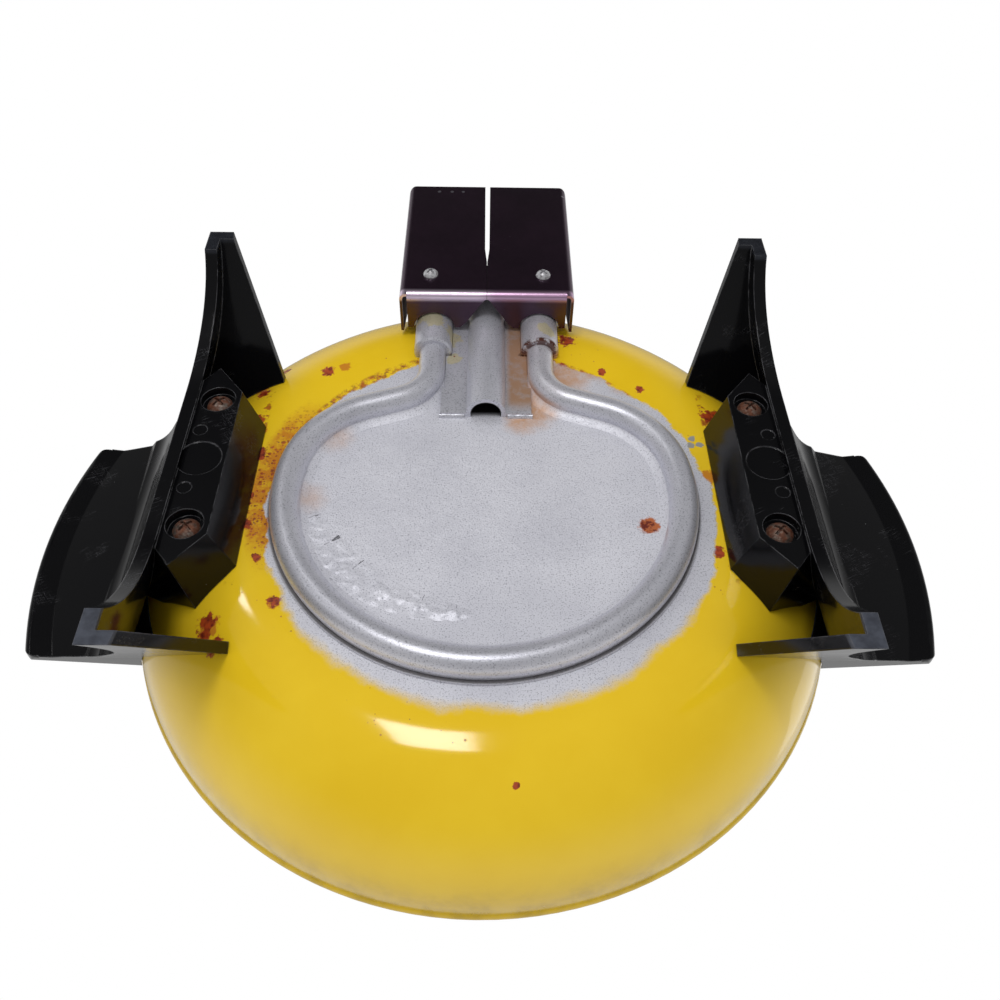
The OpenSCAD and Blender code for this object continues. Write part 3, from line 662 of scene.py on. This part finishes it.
def make_inner_finishes():
    """Pins, bracket and what is sealed inside the element."""
    pins = Finish("dulled_pin")
    tarnish = pins.blotches(3.5, 0.5, 0.2)
    pins.set(base_color=pins.blend(tarnish, tint(176, 170, 158), tint(118, 108, 96)),
             roughness=pins.scaled(tarnish, 0.25, 0.25), metallic=1.0)
    pins.bump(pins.grain(0.3, 1.6, 0.3)["Height"], 0.03)
    pins.dress("terminal_pin_left", "terminal_pin_right")
    plain = Finish("plain_sheet_steel")
    grey = plain.blotches(7, 0.5, 0.2)
    plain.set(base_color=plain.blend(grey, tint(128, 128, 132), tint(96, 92, 90)),
              roughness=plain.scaled(grey, 0.2, 0.35), metallic=0.9)
    plain.bump(plain.grain(0.5, 3.0, 0.3)["Height"], 0.04)
    plain.dress("guard_bracket")
    white = Finish("white_ceramic")
    stained = white.blotches(3.0, 0.4, 0.2)
    white.set(base_color=white.blend(stained, tint(226, 220, 206), tint(190, 172, 146)),
              roughness=0.75)
    white.bump(white.grain(0.4, 2.0, 0.3)["Height"], 0.05)
    white.dress("terminal_insulator_left", "terminal_insulator_right")
    powder = Finish("packed_magnesia")
    clumps = powder.blotches(1.5, 0.5, 0.2)
    powder.set(base_color=powder.blend(clumps, tint(226, 224, 216), tint(206, 202, 190)),
               roughness=0.95)
    powder.dress("element_insulation")
    wire = Finish("resistance_wire")
    turns = node(wire.tree, "ShaderNodeTexNoise", {
        "Vector": wire.place, "Scale": 900.0, "Detail": 1.0}).outputs["Fac"]
    wire.set(base_color=wire.blend(turns, tint(120, 108, 96), tint(86, 78, 72)), roughness=0.5,
             metallic=0.9)
    wire.bump(turns, 0.1)
    wire.dress("element_coil")


# ---------------------------------------------------------------- pieces
def on_circle(x, y, radius, degrees):
    turn = math.radians(degrees)
    return x + radius * math.cos(turn), y + radius * math.sin(turn)


def beside_element(aside):
    """Points beside the element's middle line, from the left lead round the ring to the right."""
    lead = math.radians(LEAD_TURN)
    arc_x, arc_y = on_circle(0.0, 0.0, RING_R - SHOULDER_BEND_R, RING_TURN)
    run_x, run_y = on_circle(arc_x, arc_y, SHOULDER_BEND_R, LEAD_TURN)
    run_l = (run_x - TERMINAL_X - LEAD_BEND_R * (1 - math.cos(lead))) / math.sin(lead)
    bend_x = TERMINAL_X + LEAD_BEND_R
    bend_y = run_y + run_l * math.cos(lead) + LEAD_BEND_R * math.sin(lead)
    right = [on_circle(arc_x, -arc_y, SHOULDER_BEND_R + aside,
                       -RING_TURN - (LEAD_TURN - RING_TURN) * step / 24) for step in range(1, 25)]
    right += [on_circle(bend_x, -bend_y, LEAD_BEND_R - aside,
                        180 - LEAD_TURN + LEAD_TURN * step / 16) for step in range(17)]
    ring = [on_circle(0, 0, RING_R + aside,
                      180 + RING_TURN - (180 + 2 * RING_TURN) * step / 120) for step in range(121)]
    left = [(-x, y) for x, y in reversed(right)]
    return left + ring + right


def new_piece(name, points, faces, material):
    """A smooth mesh from points in millimetres from the pan's axis, riding on the one body."""
    mesh = bpy.data.meshes.new(name)
    mesh.from_pydata([mm(x, y + AXIS_Y, z) for x, y, z in points], [], faces)
    mesh.validate()
    for face in mesh.polygons:
        face.use_smooth = True
    mesh.materials.append(material)
    piece = bpy.data.objects.new(name, mesh)
    bpy.context.scene.collection.objects.link(piece)
    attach(piece, "root")


def grid_faces(rows, columns):
    return [(i * columns + j, i * columns + j + 1, (i + 1) * columns + j + 1, (i + 1) * columns + j)
            for i in range(rows - 1) for j in range(columns - 1)]


def make_braze_fillet(material):
    """The fillet of braze and paint that runs down the inner side of the element."""
    run_down = [(4.2, -1.9), (4.6, -1.35), (5.0, -1.02), (5.6, -0.7), (6.2, -0.4),
                (6.8, -0.16), (7.4, 0.03)]
    points = []
    for inward, up in run_down:
        points += [(x, y, PAN_BOTTOM + up) for x, y in beside_element(-inward)]
    faces = grid_faces(len(run_down), len(points) // len(run_down))
    new_piece("braze_fillet", points, faces, material)


def make_blistered_paint(material):
    """Paint that lifted in a crinkled band inside the ring: (x, y, half width) along it."""
    spine = [(-57.0, 2.0, 2.5), (-55.4, 10.5, 5.5), (-49.5, 21.5, 8.0), (-40.0, 31.0, 7.0),
             (-29.0, 38.0, 5.5), (-18.5, 42.3, 4.6), (-8.0, 44.6, 3.0), (-2.0, 44.8, 0.6)]
    along, across = 220, 48
    points = []
    for i in range(along):
        place = i / (along - 1) * (len(spine) - 1)
        low = min(int(place), len(spine) - 2)
        share = place - low
        x, y, wide = (a + (b - a) * share for a, b in zip(spine[low], spine[low + 1]))
        dx, dy = spine[low + 1][0] - spine[low][0], spine[low + 1][1] - spine[low][1]
        length = math.hypot(dx, dy)
        ends = min(1, 8 * i / along, 8 * (along - 1 - i) / along)
        for j in range(across):
            side = j / (across - 1) * 2 - 1
            spot = Vector((x + side * wide * dy / length, y - side * wide * dx / length, 0.0))
            lump = 0.55 + 1.3 * noise.noise(spot * 0.28) + 0.3 * noise.noise(spot * 0.7)
            wrinkle = max(0.0, lump) * (1 - 0.5 * abs(noise.noise(spot * 0.5)))
            lift = wrinkle * 0.55 * (1 - side * side) * ends
            points.append((*spot[:2], PAN_BOTTOM + 0.04 - lift))
    new_piece("blistered_paint", points, grid_faces(along, across), material)


def make_braze_bead(material):
    """The bead of braze along the inner edge of the channel's plate, on both sides of it."""
    points, steps, corners = [], 40, 9
    for side in (-1, 1):
        for i in range(steps):
            x = side * (7.4 + 8.4 * i / (steps - 1))
            swell = 1 + 0.05 * math.sin(i * 0.3 + side)
            for k in range(corners):
                turn = math.pi * k / (corners - 1)
                points.append((x, PLATE_EDGE_Y + swell * math.cos(turn),
                               PAN_BOTTOM + 0.15 - 1.35 * swell * math.sin(turn)))
    faces = grid_faces(steps, corners)
    faces += [tuple(steps * corners + corner for corner in face) for face in faces]
    new_piece("braze_bead", points, faces, material)


# ---------------------------------------------------------------- floor, light and camera
def make_floor():
    """A pale floor that shows from above, near the part, and lets light and sight through."""
    mesh = bpy.data.meshes.new("floor")
    mesh.from_pydata([(-5, -5, 0), (5, -5, 0), (5, 5, 0), (-5, 5, 0)], [], [(0, 1, 2, 3)])
    floor = bpy.data.objects.new("floor", mesh)
    bpy.context.scene.collection.objects.link(floor)
    pale = bpy.data.materials.new("pale_floor")
    pale.use_nodes = True
    tree = pale.node_tree
    tree.nodes.clear()
    matt = node(tree, "ShaderNodeBsdfDiffuse", {"Color": (0.86, 0.86, 0.85)})
    clear = node(tree, "ShaderNodeBsdfTransparent")
    above = calc(tree, "SUBTRACT", 1.0,
                 node(tree, "ShaderNodeNewGeometry").outputs["Backfacing"])
    seen = calc(tree, "MULTIPLY", above,
                node(tree, "ShaderNodeLightPath").outputs["Is Camera Ray"])
    from_part = node(tree, "ShaderNodeVectorMath", {
        0: node(tree, "ShaderNodeTexCoord").outputs["Object"]}, operation="LENGTH")
    seen = calc(tree, "MULTIPLY", seen, ramp(tree, from_part.outputs["Value"], 1.6, 0.35))
    mixed = node(tree, "ShaderNodeMixShader", {0: seen, 1: clear.outputs[0], 2: matt.outputs[0]})
    node(tree, "ShaderNodeOutputMaterial", {"Surface": mixed.outputs[0]})
    mesh.materials.append(pale)


def make_world():
    """White where it is seen. Mirrored it has two dimmer areas, and it lights more softly."""
    world = bpy.data.worlds.new("studio")
    bpy.context.scene.world = world
    world.use_nodes = True
    tree = world.node_tree
    tree.nodes.clear()
    looked = node(tree, "ShaderNodeTexCoord").outputs["Generated"]

    def towards(x, y, z):
        return node(tree, "ShaderNodeVectorMath", {0: looked, 1: (x, y, z)},
                    operation="DOT_PRODUCT").outputs["Value"]

    low_side = ramp(tree, towards(0.0, -0.82, -0.572), 0.998, 0.84)
    far_side = calc(tree, "MULTIPLY_ADD",
                    ramp(tree, towards(0.0, -0.742, 0.67), 0.62, 0.92), -0.65, 1.0)
    height = calc(tree, "MULTIPLY_ADD", ramp(tree, towards(0.0, 0.0, 1.0), -0.5, 0.4), 0.78, 0.22)
    mirrored = calc(tree, "MULTIPLY", calc(tree, "MULTIPLY", low_side, far_side), height)
    mirrored = calc(tree, "MULTIPLY_ADD", mirrored, 0.98, 0.02)
    path = node(tree, "ShaderNodeLightPath").outputs
    seen = calc(tree, "MAXIMUM", path["Is Camera Ray"], path["Is Transmission Ray"])
    soft = 0.72
    level = calc(tree, "MULTIPLY_ADD", path["Is Glossy Ray"],
                 calc(tree, "SUBTRACT", mirrored, soft), soft)
    level = calc(tree, "MULTIPLY_ADD", seen, calc(tree, "SUBTRACT", 1.0, level), level)
    white = node(tree, "ShaderNodeBackground", {"Color": (1.0, 1.0, 1.0), "Strength": level})
    node(tree, "ShaderNodeOutputWorld", {"Surface": white.outputs[0]})


def facing_matrix(place, across, above, behind):
    """Stands a lamp or a camera at a place, by its three directions."""
    return Matrix.Translation(place) @ Matrix((across, above, behind)).transposed().to_4x4()


def add_lamp(name, place, wide, tall, glow, turn=0.0, mirrored=True):
    """A soft panel lamp of an even glow, turned to the part and hidden from the camera."""
    lamp = bpy.data.lights.new(name, "AREA")
    lamp.shape = "RECTANGLE"
    lamp.size, lamp.size_y = wide, tall
    lamp.energy = glow * wide * tall * math.pi
    holder = bpy.data.objects.new(name, lamp)
    behind = (Vector(place) - Vector((0.0, 0.01, 0.045))).normalized()
    across = Vector((0.0, 1.0, 0.0)).cross(behind).normalized()
    holder.matrix_world = (facing_matrix(place, across, behind.cross(across), behind)
                           @ Matrix.Rotation(math.radians(turn), 4, "Z"))
    holder.visible_camera = False
    holder.visible_glossy = mirrored
    bpy.context.scene.collection.objects.link(holder)


def make_lamps():
    add_lamp("lamp_below", (-0.149, 0.058, -1.05), 0.25, 0.31, 12.7)
    add_lamp("lamp_below_left", (-1.06, 0.085, -1.05), 0.04, 0.26, 16.0)
    add_lamp("lamp_below_far_left", (-0.64, -0.565, -1.05), 0.12, 0.08, 14.0, turn=12)
    add_lamp("lamp_above", (-0.5, -0.6, 1.5), 1.1, 1.1, 2.6, mirrored=False)
    add_lamp("lamp_above_right", (1.3, -0.4, 0.9), 0.7, 0.9, 0.6)


def make_camera():
    """Looks up at the bottom from behind, with the terminals away from it."""
    pitch, yaw, roll = (math.radians(turn) for turn in (46.745, 1.462, 1.547))
    ahead = Vector((math.sin(yaw) * math.cos(pitch), -math.cos(yaw) * math.cos(pitch),
                    math.sin(pitch)))
    level = Vector((math.cos(yaw), math.sin(yaw), 0.0))
    above = level.cross(ahead)
    right = math.cos(roll) * level + math.sin(roll) * above
    up = math.cos(roll) * above - math.sin(roll) * level
    data = bpy.data.cameras.new("camera")
    data.sensor_width, data.lens = 36.0, 36.0
    data.shift_x, data.shift_y = -0.0039, -0.0539
    data.clip_start, data.clip_end = 0.01, 50.0
    camera = bpy.data.objects.new("camera", data)
    camera.matrix_world = facing_matrix(mm(0.3, 221.06, -198.91), right, up, -ahead)
    bpy.context.scene.collection.objects.link(camera)
    bpy.context.scene.camera = camera


enamelled = make_pan_finish()
sprayed = make_element_finish()
make_guard_finish()
make_phenolic_finish()
make_screw_finishes()
make_inner_finishes()
make_braze_fillet(enamelled)
make_blistered_paint(enamelled)
make_braze_bead(sprayed)
make_floor()
make_world()
make_lamps()
make_camera()
bpy.context.scene.view_settings.view_transform = "Standard"
